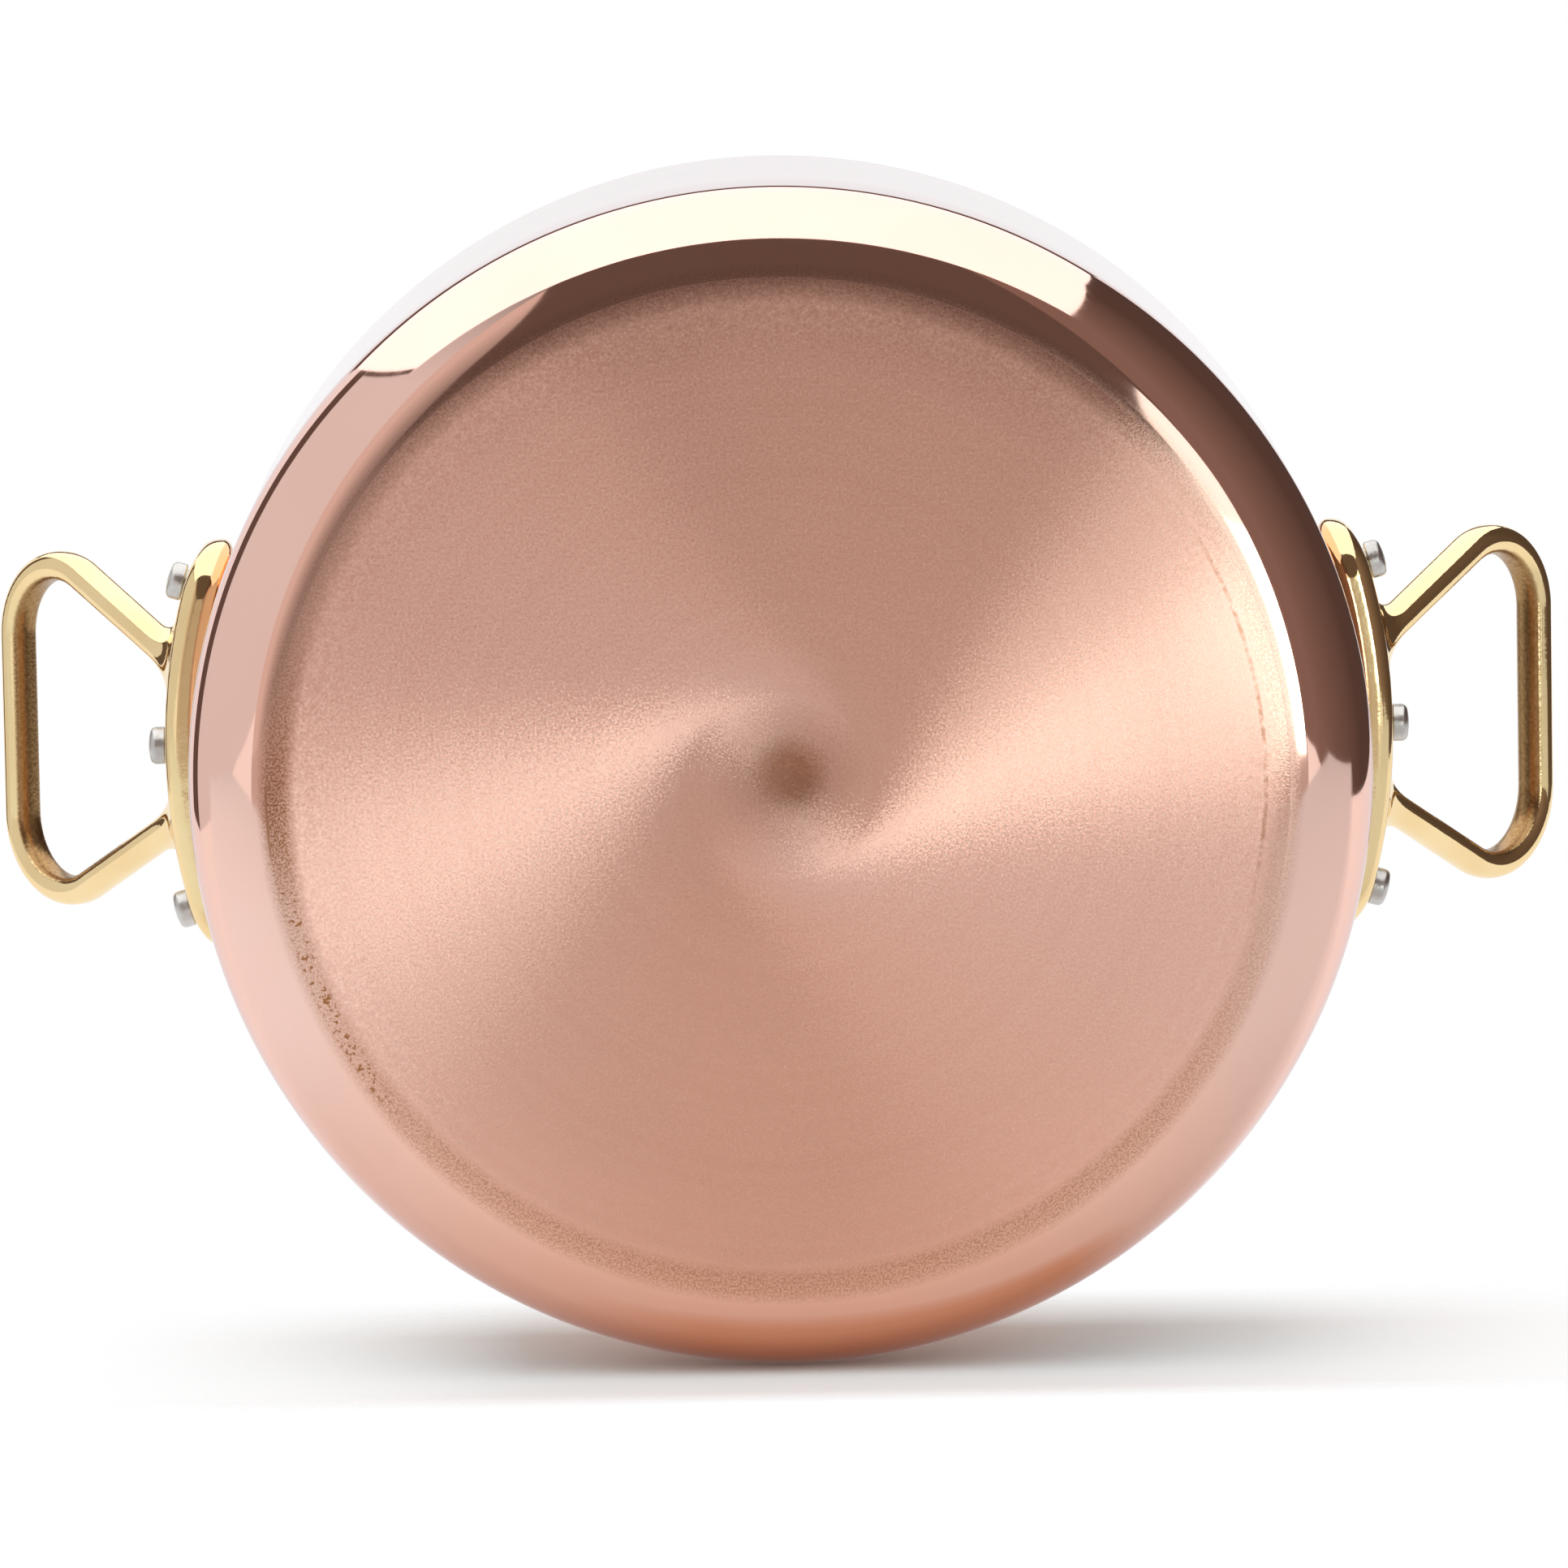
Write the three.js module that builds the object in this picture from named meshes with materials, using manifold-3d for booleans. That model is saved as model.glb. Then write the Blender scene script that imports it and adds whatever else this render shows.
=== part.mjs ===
// Two-handled copper pan: lined copper body, matte base disc, cast brass loop handles, steel rivets.
// Millimetres, Z up, the pan stands on its base with its axis on Z and a handle on each side along X.
import * as THREE from 'three';
import { mergeVertices } from 'three/addons/utils/BufferGeometryUtils.js';
import Module from 'manifold-3d';

const wasm = await Module();
wasm.setup();

// Body sizes
const OUTER_DIAMETER = 200;
const RIM_HEIGHT = 100;
const CORNER_RADIUS = 14;
const COPPER_THICKNESS = 1.8;
const LINING_THICKNESS = 0.2;
const RIM_EDGE = 0.4;
const BASE_LAYER_THICKNESS = 0.4;
const BASE_LAYER_MARGIN = 0.6;
const BASE_LAYER_BEVEL = 1.2;

// Handle sizes
const HANDLE_TILT = 48;
const PLATE_THICKNESS = 6.6;
const PLATE_TIP_THICKNESS = 3.2;
const PLATE_HEIGHT = 22;
const PLATE_RISE = 1.5;
const PLATE_END_MARGIN = 8.8;
const PLATE_SQUARENESS = 4.5;
const FOOT_RISE = 8.5;
const FOOT_SPACING = 29.5;
const FOOT_SINK = 3.2;
const LOOP_WIDTH = 57.8;
const LOOP_REACH = 43.4;
const LOOP_CORNER_RADIUS = 13;
const BAR_WIDTH = 5.2;
const BAR_DEPTH = 6.4;
const BAR_SQUARENESS = 3;
const NECK_SHARE = 0.98;
const NECK_FLARE = 1.4;
const NECK_LENGTH = 8;
const NECK_WAIST_AT = 0.35;

// Rivet sizes
const RIVET_DROP = 19;
const RIVET_SPACING_ANGLE = 15.8;
const RIVET_SHANK_DIAMETER = 4.8;
const RIVET_HEAD_DIAMETER = 6.5;
const RIVET_HEAD_HEIGHT = 3;
const RIVET_HEAD_EDGE = 1.2;
const RIVET_INNER_DIAMETER = 9.6;
const RIVET_INNER_HEIGHT = 1.8;

// Fits
const BOND_GAP = 0.02;
const PLATE_GAP = 0.3;
const HEAD_GAP = 0.15;
const HOLE_CLEARANCE = 0.1;

// Facets
const BODY_SEGMENTS = 80;
const CORNER_STEPS = 6;
const RIVET_SEGMENTS = 16;
const SECTION_POINTS = 14;
const PLATE_END_STEPS = 5;
const PLATE_END_TURN = 82;
const HEAD_EDGE_STEPS = 3;
const DOME_STEPS = 3;
const WELD_DISTANCE = 1e-4;
const PLATE_STEP_ANGLE = 4.5;
const LOOP_CORNER_STEPS = 9;
const LEG_STEPS = 7;

// Derived sizes
const outerRadius = OUTER_DIAMETER / 2;
const boreRadius = outerRadius - COPPER_THICKNESS - BOND_GAP - LINING_THICKNESS;
const plateSeatRadius = outerRadius + PLATE_GAP;
const plateFaceRadius = plateSeatRadius + PLATE_THICKNESS;
const rivetHeight = RIM_HEIGHT - RIVET_DROP;
const rivetAngle = THREE.MathUtils.degToRad(RIVET_SPACING_ANGLE);
const tilt = THREE.MathUtils.degToRad(HANDLE_TILT);
const HALF_TURN = Math.PI;
const QUARTER_TURN = Math.PI / 2;

// Finishes
function finish(color, roughness) {
  return new THREE.MeshStandardMaterial({ color, metalness: 1, roughness });
}
const copperFinish = () => finish(0xd99277, 0.2);
const liningFinish = () => finish(0xc4c4c2, 0.35);
const baseFinish = () => finish(0xb98670, 0.6);
const brassFinish = () => finish(0xd8b26a, 0.22);
const rivetFinish = () => finish(0xb9b8b4, 0.35);

// Solids for cutting and joining
function toSolid(geometry) {
  const bare = geometry.clone();
  bare.deleteAttribute('normal');
  bare.deleteAttribute('uv');
  const merged = mergeVertices(bare, WELD_DISTANCE);
  const vertProperties = new Float32Array(merged.attributes.position.array);
  const triVerts = new Uint32Array(merged.index.array);
  return new wasm.Manifold(new wasm.Mesh({ numProp: 3, vertProperties, triVerts }));
}

function toGeometry(solid) {
  const mesh = solid.getMesh();
  const geometry = new THREE.BufferGeometry();
  geometry.setAttribute('position', new THREE.BufferAttribute(mesh.vertProperties, 3));
  geometry.setIndex(new THREE.BufferAttribute(mesh.triVerts, 1));
  const faceted = geometry.toNonIndexed();
  faceted.computeVertexNormals();
  return faceted;
}

// A profile of [radius, height] points turned about the Z axis
function revolve(profile, segments) {
  const points = profile.map(([radius, height]) => new THREE.Vector2(radius, height));
  return new THREE.LatheGeometry(points, segments).rotateX(QUARTER_TURN);
}

// A skin through rings of points, closed by a fan at each end
function loft(rings) {
  const count = rings[0].length;
  const last = rings.length - 1;
  const middle = (ring) => ring.reduce((sum, p) => sum.add(p), new THREE.Vector3()).divideScalar(count);
  const points = [...rings.flat(), middle(rings[0]), middle(rings[last])];
  const startMiddle = rings.length * count;
  const index = [];
  for (let i = 0; i < count; i += 1) {
    const next = (i + 1) % count;
    for (let ring = 0; ring < last; ring += 1) {
      const a = ring * count + i;
      const b = ring * count + next;
      index.push(a, b, b + count, a, b + count, a + count);
    }
    index.push(startMiddle, next, i);
    index.push(startMiddle + 1, last * count + i, last * count + next);
  }
  const geometry = new THREE.BufferGeometry().setFromPoints(points);
  geometry.setIndex(index);
  return geometry;
}

// One point of a rounded rectangle that reaches one unit each way
function roundedUnit(turn, squareness) {
  const round = (value) => Math.sign(value) * Math.abs(value) ** (2 / squareness);
  return [round(Math.cos(turn)), round(Math.sin(turn))];
}

const sectionTurns = Array.from({ length: SECTION_POINTS }, (_, i) => (2 * Math.PI * (i + 0.5)) / SECTION_POINTS);

// Half a profile of the body at a given distance inside the outer face, from the axis to the rim
function bodyCurve(inset) {
  const radius = CORNER_RADIUS - inset;
  const flat = outerRadius - CORNER_RADIUS;
  const low = BASE_LAYER_THICKNESS + inset;
  const points = [[0, low]];
  for (let step = 0; step <= CORNER_STEPS; step += 1) {
    const turn = (QUARTER_TURN * step) / CORNER_STEPS;
    points.push([flat + radius * Math.sin(turn), low + radius * (1 - Math.cos(turn))]);
  }
  return points;
}

const shellProfile = [
  ...bodyCurve(0),
  [outerRadius, RIM_HEIGHT - RIM_EDGE],
  [outerRadius - RIM_EDGE, RIM_HEIGHT],
  [outerRadius - COPPER_THICKNESS, RIM_HEIGHT],
  ...bodyCurve(COPPER_THICKNESS).reverse(),
];
const liningProfile = [
  ...bodyCurve(COPPER_THICKNESS + BOND_GAP),
  [outerRadius - COPPER_THICKNESS - BOND_GAP, RIM_HEIGHT],
  [boreRadius, RIM_HEIGHT],
  ...bodyCurve(outerRadius - boreRadius).reverse(),
];

const baseRadius = outerRadius - CORNER_RADIUS - BASE_LAYER_MARGIN;
const baseProfile = [
  [0, 0],
  [baseRadius - BASE_LAYER_BEVEL, 0],
  [baseRadius, BASE_LAYER_THICKNESS],
  [0, BASE_LAYER_THICKNESS],
];

// Where each rivet of one handle stands, as a turn about the pan's axis
const rivetPlaces = [
  { place: 'front', turn: -rivetAngle },
  { place: 'middle', turn: 0 },
  { place: 'back', turn: rivetAngle },
];
const sides = [
  { side: 'right', turn: 0 },
  { side: 'left', turn: HALF_TURN },
];

function rivetHole(turn) {
  const radius = RIVET_SHANK_DIAMETER / 2 + HOLE_CLEARANCE;
  const length = plateFaceRadius - boreRadius + 2 * PLATE_THICKNESS;
  const hole = new THREE.CylinderGeometry(radius, radius, length, RIVET_SEGMENTS);
  hole.rotateZ(-QUARTER_TURN);
  hole.translate((plateFaceRadius + boreRadius) / 2, 0, rivetHeight);
  return toSolid(hole.rotateZ(turn));
}

function drillBody(profile) {
  let solid = toSolid(revolve(profile, BODY_SEGMENTS));
  for (const { turn: sideTurn } of sides) {
    for (const { turn } of rivetPlaces) {
      solid = solid.subtract(rivetHole(sideTurn + turn));
    }
  }
  return toGeometry(solid);
}

// Riveting plate: a strip bent round the wall, with round ends that thin towards the tips
function plateGeometry() {
  const halfHeight = PLATE_HEIGHT / 2;
  const straight = rivetAngle * plateFaceRadius + PLATE_END_MARGIN - halfHeight;
  const stations = [];
  for (let step = 1; step <= PLATE_END_STEPS; step += 1) {
    const turn = (THREE.MathUtils.degToRad(PLATE_END_TURN) * step) / PLATE_END_STEPS;
    stations.push({ along: straight + halfHeight * Math.sin(turn), fullness: Math.cos(turn) });
  }
  const straightSteps = Math.ceil(straight / (plateFaceRadius * THREE.MathUtils.degToRad(PLATE_STEP_ANGLE)));
  const middle = [];
  for (let step = -straightSteps; step <= straightSteps; step += 1) {
    middle.push({ along: (straight * step) / straightSteps, fullness: 1 });
  }
  const mirrored = stations.map(({ along, fullness }) => ({ along: -along, fullness })).reverse();
  const rings = [...mirrored, ...middle, ...stations].map(({ along, fullness }) => {
    const turn = along / plateFaceRadius;
    const thickness = PLATE_TIP_THICKNESS + (PLATE_THICKNESS - PLATE_TIP_THICKNESS) * fullness;
    return sectionTurns.map((sectionTurn) => {
      const [out, up] = roundedUnit(sectionTurn, PLATE_SQUARENESS);
      const radius = plateSeatRadius + (thickness / 2) * (1 + out);
      const height = rivetHeight + PLATE_RISE + halfHeight * fullness * up;
      return new THREE.Vector3(radius * Math.cos(turn), radius * Math.sin(turn), height);
    });
  });
  return loft(rings.reverse());
}

// Centre line of half the loop in its own plane, from the foot to the middle of the outer bar
function halfLoop() {
  const foot = new THREE.Vector2(0, FOOT_SPACING / 2);
  const centre = new THREE.Vector2(LOOP_REACH - LOOP_CORNER_RADIUS, LOOP_WIDTH / 2 - LOOP_CORNER_RADIUS);
  const span = centre.clone().sub(foot);
  const legAngle = Math.atan2(span.y, span.x) + Math.asin(LOOP_CORNER_RADIUS / span.length());
  const legDirection = new THREE.Vector2(Math.cos(legAngle), Math.sin(legAngle));
  const legLength = Math.sqrt(span.lengthSq() - LOOP_CORNER_RADIUS ** 2);
  const points = [];
  for (let step = 0; step < LEG_STEPS; step += 1) {
    const distance = -FOOT_SINK + ((legLength + FOOT_SINK) * step) / LEG_STEPS;
    points.push(foot.clone().addScaledVector(legDirection, distance));
  }
  const arcStart = legAngle + QUARTER_TURN;
  for (let step = 0; step <= LOOP_CORNER_STEPS; step += 1) {
    const turn = arcStart - (arcStart * step) / LOOP_CORNER_STEPS;
    const rim = new THREE.Vector2(Math.cos(turn), Math.sin(turn)).multiplyScalar(LOOP_CORNER_RADIUS);
    points.push(centre.clone().add(rim));
  }
  return points;
}

// How full the bar is at a distance along it from the plate: flared at the plate, waisted, then full
function barFullness(distance) {
  const share = THREE.MathUtils.clamp(distance / NECK_LENGTH, 0, 1);
  if (share < NECK_WAIST_AT) {
    return THREE.MathUtils.lerp(NECK_FLARE, NECK_SHARE, Math.sqrt(share / NECK_WAIST_AT));
  }
  return THREE.MathUtils.lerp(NECK_SHARE, 1, THREE.MathUtils.smoothstep(share, NECK_WAIST_AT, 1));
}

function loopGeometry() {
  const half = halfLoop();
  const line = [...half, ...half.map((p) => new THREE.Vector2(p.x, -p.y)).reverse()];
  const lengths = [0];
  for (let i = 1; i < line.length; i += 1) {
    lengths.push(lengths[i - 1] + line[i].distanceTo(line[i - 1]));
  }
  const total = lengths[lengths.length - 1];
  const footRadius = Math.sqrt(plateFaceRadius ** 2 - (FOOT_SPACING / 2) ** 2);
  const footHeight = rivetHeight + FOOT_RISE;
  const rings = line.map((point, i) => {
    const before = line[Math.max(i - 1, 0)];
    const after = line[Math.min(i + 1, line.length - 1)];
    const along = after.clone().sub(before).normalize();
    const distance = Math.min(lengths[i], total - lengths[i]) - FOOT_SINK;
    const fullness = barFullness(distance);
    return sectionTurns.map((sectionTurn) => {
      const [across, deep] = roundedUnit(sectionTurn, BAR_SQUARENESS);
      const offset = (BAR_WIDTH / 2) * fullness * across;
      const lift = (BAR_DEPTH / 2) * fullness * deep;
      const out = point.x - along.y * offset;
      const sideways = point.y + along.x * offset;
      return new THREE.Vector3(
        footRadius + out * Math.cos(tilt) - lift * Math.sin(tilt),
        sideways,
        footHeight + out * Math.sin(tilt) + lift * Math.cos(tilt),
      );
    });
  });
  return loft(rings);
}

function handleGeometry() {
  let casting = toSolid(plateGeometry()).add(toSolid(loopGeometry()));
  for (const { turn } of rivetPlaces) {
    casting = casting.subtract(rivetHole(turn));
  }
  return toGeometry(casting);
}

// Rivet: low dome inside the pan, shank through wall and plate, upright head outside
function rivetGeometry() {
  const innerRadius = RIVET_INNER_DIAMETER / 2;
  const shankRadius = RIVET_SHANK_DIAMETER / 2;
  const headRadius = RIVET_HEAD_DIAMETER / 2;
  const wallDip = boreRadius - Math.sqrt(boreRadius ** 2 - innerRadius ** 2);
  const facetDip = boreRadius * (1 - Math.cos(Math.PI / BODY_SEGMENTS));
  const innerSeat = boreRadius - wallDip - facetDip - HEAD_GAP;
  const outerSeat = plateFaceRadius + HEAD_GAP;
  const top = outerSeat + RIVET_HEAD_HEIGHT;
  const domeSphere = (innerRadius ** 2 + RIVET_INNER_HEIGHT ** 2) / (2 * RIVET_INNER_HEIGHT);
  const profile = [];
  for (let step = 0; step <= DOME_STEPS; step += 1) {
    const radius = (innerRadius * step) / DOME_STEPS;
    const fall = domeSphere - Math.sqrt(domeSphere ** 2 - radius ** 2);
    profile.push([radius, innerSeat - RIVET_INNER_HEIGHT + fall]);
  }
  profile.push([shankRadius, innerSeat], [shankRadius, outerSeat], [headRadius, outerSeat]);
  for (let step = 0; step <= HEAD_EDGE_STEPS; step += 1) {
    const turn = (QUARTER_TURN * step) / HEAD_EDGE_STEPS;
    const radius = headRadius - RIVET_HEAD_EDGE * (1 - Math.cos(turn));
    profile.push([radius, top - RIVET_HEAD_EDGE * (1 - Math.sin(turn))]);
  }
  profile.push([0, top]);
  const points = profile.map(([radius, height]) => new THREE.Vector2(radius, height));
  return new THREE.LatheGeometry(points, RIVET_SEGMENTS);
}

function namedMesh(name, geometry, material) {
  const mesh = new THREE.Mesh(geometry, material);
  mesh.name = name;
  return mesh;
}

const pan = new THREE.Group();
pan.name = 'two_handled_copper_pan';
pan.add(namedMesh('copper_shell', drillBody(shellProfile), copperFinish()));
pan.add(namedMesh('steel_lining', drillBody(liningProfile), liningFinish()));
pan.add(namedMesh('base_layer', revolve(baseProfile, BODY_SEGMENTS), baseFinish()));

const handle = handleGeometry();
const rivet = rivetGeometry();
for (const { side, turn } of sides) {
  const fitting = new THREE.Group();
  fitting.name = `fitting_${side}`;
  fitting.rotation.z = turn;
  fitting.add(namedMesh(`handle_${side}`, handle, brassFinish()));
  for (const { place, turn: rivetTurn } of rivetPlaces) {
    const seat = new THREE.Group();
    seat.name = `seat_${side}_${place}`;
    seat.rotation.z = rivetTurn;
    seat.position.z = rivetHeight;
    const pin = namedMesh(`rivet_${side}_${place}`, rivet, rivetFinish());
    pin.rotation.z = -QUARTER_TURN;
    seat.add(pin);
    fitting.add(seat);
  }
  pan.add(fitting);
}

export default pan;
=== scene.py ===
"""Looks of the two-handled copper pan, photographed lying on its side with its base to the camera."""
import math

import bpy
import numpy as np
from mathutils import Matrix, Vector


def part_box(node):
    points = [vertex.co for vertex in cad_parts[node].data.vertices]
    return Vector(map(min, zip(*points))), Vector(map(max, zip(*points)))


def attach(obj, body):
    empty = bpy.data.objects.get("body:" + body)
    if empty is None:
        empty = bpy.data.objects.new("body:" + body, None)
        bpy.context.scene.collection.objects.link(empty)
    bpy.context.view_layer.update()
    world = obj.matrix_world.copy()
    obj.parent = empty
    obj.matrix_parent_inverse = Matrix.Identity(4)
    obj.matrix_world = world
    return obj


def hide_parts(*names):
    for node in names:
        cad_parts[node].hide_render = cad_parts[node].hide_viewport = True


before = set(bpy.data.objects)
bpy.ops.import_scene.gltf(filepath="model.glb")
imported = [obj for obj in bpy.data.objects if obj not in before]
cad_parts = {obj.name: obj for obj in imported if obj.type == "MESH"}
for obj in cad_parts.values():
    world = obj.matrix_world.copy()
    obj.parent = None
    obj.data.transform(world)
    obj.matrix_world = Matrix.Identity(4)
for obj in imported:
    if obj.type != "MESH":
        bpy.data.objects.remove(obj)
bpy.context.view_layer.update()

# Body, in millimetres like every size of the shape
MM = 0.001
COPPER_THICKNESS = 1.8
LINING_THICKNESS = 0.2
BOND_GAP = 0.02
CORNER_RADIUS = 14.0
RIM_EDGE = 0.4
LINING_EDGE = 0.09
BODY_SEGMENTS = 256
CORNER_STEPS = 28
EDGE_STEPS = 4
FLOOR_RINGS = (0.5, 0.9)

# Matte disc under the base, which rolls gently over into the corner
ROLL_START = 70.0
ROLL_END_ANGLE = math.radians(2.3)
ROLL_STEPS = 10
SEAM = 0.03
DIMPLE_RADIUS = 6.5
DIMPLE_DEPTH = 0.25
DIMPLE_STEPS = 8
DIMPLE_PLACE = (1.6, -2.0, 0.0)
DISC_RINGS = 12
SHARP_ANGLE = math.radians(40.0)

# Handle casting: wall-bent riveting plate and tilted loop
HANDLE_TILT = math.radians(48.0)
PLATE_GAP = 0.3
PLATE_THICKNESS = 6.6
PLATE_TIP_THICKNESS = 3.2
PLATE_HEIGHT = 22.0
PLATE_RISE = 1.5
PLATE_END_MARGIN = 8.8
PLATE_EDGE = 2.6
RIVET_DROP = 19.0
RIVET_SPACING_ANGLE = math.radians(15.8)
FOOT_RISE = 8.5
FOOT_SPACING = 29.5
FOOT_SINK = 3.8
LOOP_WIDTH = 57.8
LOOP_REACH = 43.4
LOOP_CORNER_RADIUS = 13.0
BAR_WIDTH = 5.2
BAR_DEPTH = 6.4
BAR_SQUARENESS = 2.3
NECK_LENGTH = 8.0
NECK_FILLET = 4.5
HANDLE_CELL = 0.5
SETTLE_ROUNDS = 5
SLOPE_STEP = 0.02
LEAST_DIVISOR = 0.02

# Rivets
RIVET_SHANK_DIAMETER = 4.8
RIVET_HEAD_DIAMETER = 6.5
RIVET_HEAD_HEIGHT = 3.0
RIVET_HEAD_EDGE = 1.1
RIVET_HEAD_TURN = 80.0
RIVET_HEAD_CROWN = 0.25
RIVET_INNER_DIAMETER = 9.6
RIVET_INNER_HEIGHT = 1.8
RIVET_SEGMENTS = 40
RIVET_STEPS = 8

# Spans of noise and its middle. A noise is a scale, per metre if not said otherwise, and a detail
NOISE_SPAN = (0.3, 0.7)
NOISE_MIDDLE = 0.5
GRAIN_SPAN = (0.25, 0.75)
GRAIN = (3800.0, 1.0)
FULL_SPAN = (0.0, 1.0)

# Sockets of the mix node when it mixes colours
MIX_SHARE = 0
MIX_FIRST = 6
MIX_SECOND = 7
MIX_RESULT = 2

# Fringe between the blasted base and the polished corner
MATTE_UNTIL = 79.5
POLISHED_FROM = 88.5
FRINGE_SCATTER = 0.07
FRINGE_SPAN = (0.15, 0.85)
FRINGE_GLOSS = 0.15
UNDERSIDE = (1.5, 3.0)

# Brushing that swirls into the centre
BRUSH_CIRCLE = 18.0
BRUSH_CORE = 10.0
BRUSH_POWER = 1.6
BRUSH_STEEPEST = 0.95
BRUSH_STRAY = 30.0
STRAY_CORE = 1.0
STRAY_NOISE = (2600.0, 1.0)

# Painted shade round the centre dimple and its roughness blur: full up to one distance, gone at a second
# one, and their strength
DIMPLE_SHADE = (3.0, 7.2, 0.56)
DIMPLE_SHADE_HALO = (5.0, 13.0, 0.30)
CENTRE_BLUR = (5.0, 27.0, 0.22)
CENTRE_SCATTER = 5.0

# Worn marks and painted shade: rings of a radius and width, kept to a stretch of X and Y and mostly broken
# up by noise
RING_CORE = 0.4
SCUFF_RING = (81.3, 0.5)
SCUFF_RIGHT = (66.0, 76.0)
SCUFF_LOWER_END = (12.0, 26.0)
SCUFF_NOISE = (700.0, 4.0)
SCUFF_BREAKS = (0.36, 0.62)
SCUFF_MOST = 0.6
SPECK_RING = (84.8, 2.2)
SPECK_LEFT = (-58.0, -70.0)
SPECK_UPPER_END = (6.0, 16.0)
SPECK_NOISE = (1500.0, 1.0)
SPECK_BREAKS = (0.59, 0.63)
# Stipple at the edge of the blasting: real grain, with painted shade that makes it darkest at the left
STIPPLE_RING = (84.8, 3.3)
STIPPLE_LEFT = (-83.0, -45.0)
STIPPLE_UPPER_END = (-30.0, 0.0)
STIPPLE_UPPER_LEAST = 0.3
STIPPLE_LOWER_END = (8.0, 22.0)
STIPPLE_LOWER_LEAST = 0.55
STIPPLE_BELOW = (10.0, 60.0)
STIPPLE_BELOW_LEAST = 0.32
STIPPLE_BELOW_MOST = 0.64
STIPPLE_NOISE = (2700.0, 1.0)
STIPPLE_BREAKS = (0.40, 0.62)
STIPPLE_GRAIN_LEAST = 0.40
# Painted shade of a small step at the far left of the blasting's edge
LEDGE_SHADE_RING = (86.4, 0.35)
LEDGE_SHADE_LEFT = (-80.0, -84.0)
LEDGE_SHADE_UPPER_END = (-4.0, -1.0)
LEDGE_SHADE_LOWER_END = (10.0, 14.0)
LEDGE_SHADE_MOST = 0.8
# Dark colour of the worn marks and of the painted shade at the edge of the blasting
WEAR_AND_SHADE_COLOUR = (0.38, 0.165, 0.07, 1.0)

# Polished copper, with lines whose scale is per millimetre
POLISHED_COPPER = (0.955, 0.630, 0.535, 1.0)
POLISHED_COPPER_DARK = (0.935, 0.600, 0.500, 1.0)
GRAZING_TINT = (0.85, 0.87, 0.92, 1.0)
COPPER_LINES = (0.03, 4.0)
COPPER_LINE_STRETCH = 60.0
COPPER_CLOUD = (28.0, 3.0)
COPPER_ROUGHNESS = (0.03, 0.06)
COPPER_BUMP = 0.002

# Blasted and brushed copper, with rings whose scale is per millimetre
MATTE_COPPER = (1.0, 0.67, 0.56, 1.0)
MATTE_COPPER_DARK = (0.86, 0.49, 0.395, 1.0)
# Painted shade in and round the centre dimple
DIMPLE_SHADE_COLOUR = (0.44, 0.205, 0.12, 1.0)
DISC_ROUGHNESS = 0.25
DISC_ANISOTROPY = 1.0
DISC_CLOUD = (22.0, 3.0)
CLOUD_ROUGHNESS = 0.02
SPARKLE = (2100.0, 2.0)
SPARKLE_SHARES = (0.12, 0.88)
SPARKLE_ROUGHNESS = 0.04
WIDE_RINGS = (0.35, 3.0)
WIDE_RING_MOST = 0.3
FINE_RINGS = (2.6, 3.0)
GRAIN_HEIGHT = 0.6
SPARKLE_HEIGHT = 0.4
RING_HEIGHT = 0.5
DISC_BUMP = 0.006

# Brushed steel of the lining, with lines whose scale is per millimetre
LINING_DARK = (0.56, 0.55, 0.53, 1.0)
LINING_PALE = (0.68, 0.67, 0.65, 1.0)
LINING_LINES = (9.0, 4.0)
LINING_CLOUD = (30.0, 3.0)
LINING_ROUGHNESS = (0.26, 0.34)
LINING_BUMP = 0.02
LINING_ANISOTROPY = 0.6
LINING_QUARTER_TURN = 0.25

# Cast brass, polished all over but for the face inside the loop
BRASS_PALE = (0.94, 0.73, 0.41, 1.0)
BRASS_DEEP = (0.90, 0.67, 0.35, 1.0)
BROWN_DARK = (0.30, 0.17, 0.07, 1.0)
BROWN_PALE = (0.44, 0.27, 0.12, 1.0)
BRASS_CLOUD = (90.0, 3.0)
BRASS_PITS = (1500.0, 2.0)
BRASS_ROUGHNESS = (0.05, 0.09)
BRASS_BUMP = 0.05
INNER_FACE = "inner_face"
INNER_FACE_SPAN = (0.5, 0.8125)
PIT_SHARE = 0.5
ROUGH_FACE_SPAN = (0.55, 1.05)
ROUGH_FACE_ROUGHNESS = 0.22
POLISHED_PIT_HEIGHT = 0.08

# Satin steel of the rivets
RIVET_DARK = (0.50, 0.48, 0.46, 1.0)
RIVET_PALE = (0.66, 0.64, 0.62, 1.0)
RIVET_SKIN = (900.0, 3.0)
RIVET_CLOUD = (260.0, 2.0)
RIVET_ROUGHNESS = (0.28, 0.40)
RIVET_BUMP = 0.08

# Camera in metres, read from the photograph: image right is +X, image up is -Y, and it is under the base
FRAME_PIXELS = 1932
SENSOR_WIDTH = 36.0
FOCAL_PIXELS = 14040.0
CAMERA_DISTANCE = 1.924
CAMERA_LIFT = math.radians(6.45)
CAMERA_TURN = math.radians(-0.15)
CAMERA_ROLL = math.radians(-1.05)
AIM_HEIGHT = 0.0144
AIM_PIXEL = (962.0, 957.0)

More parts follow.
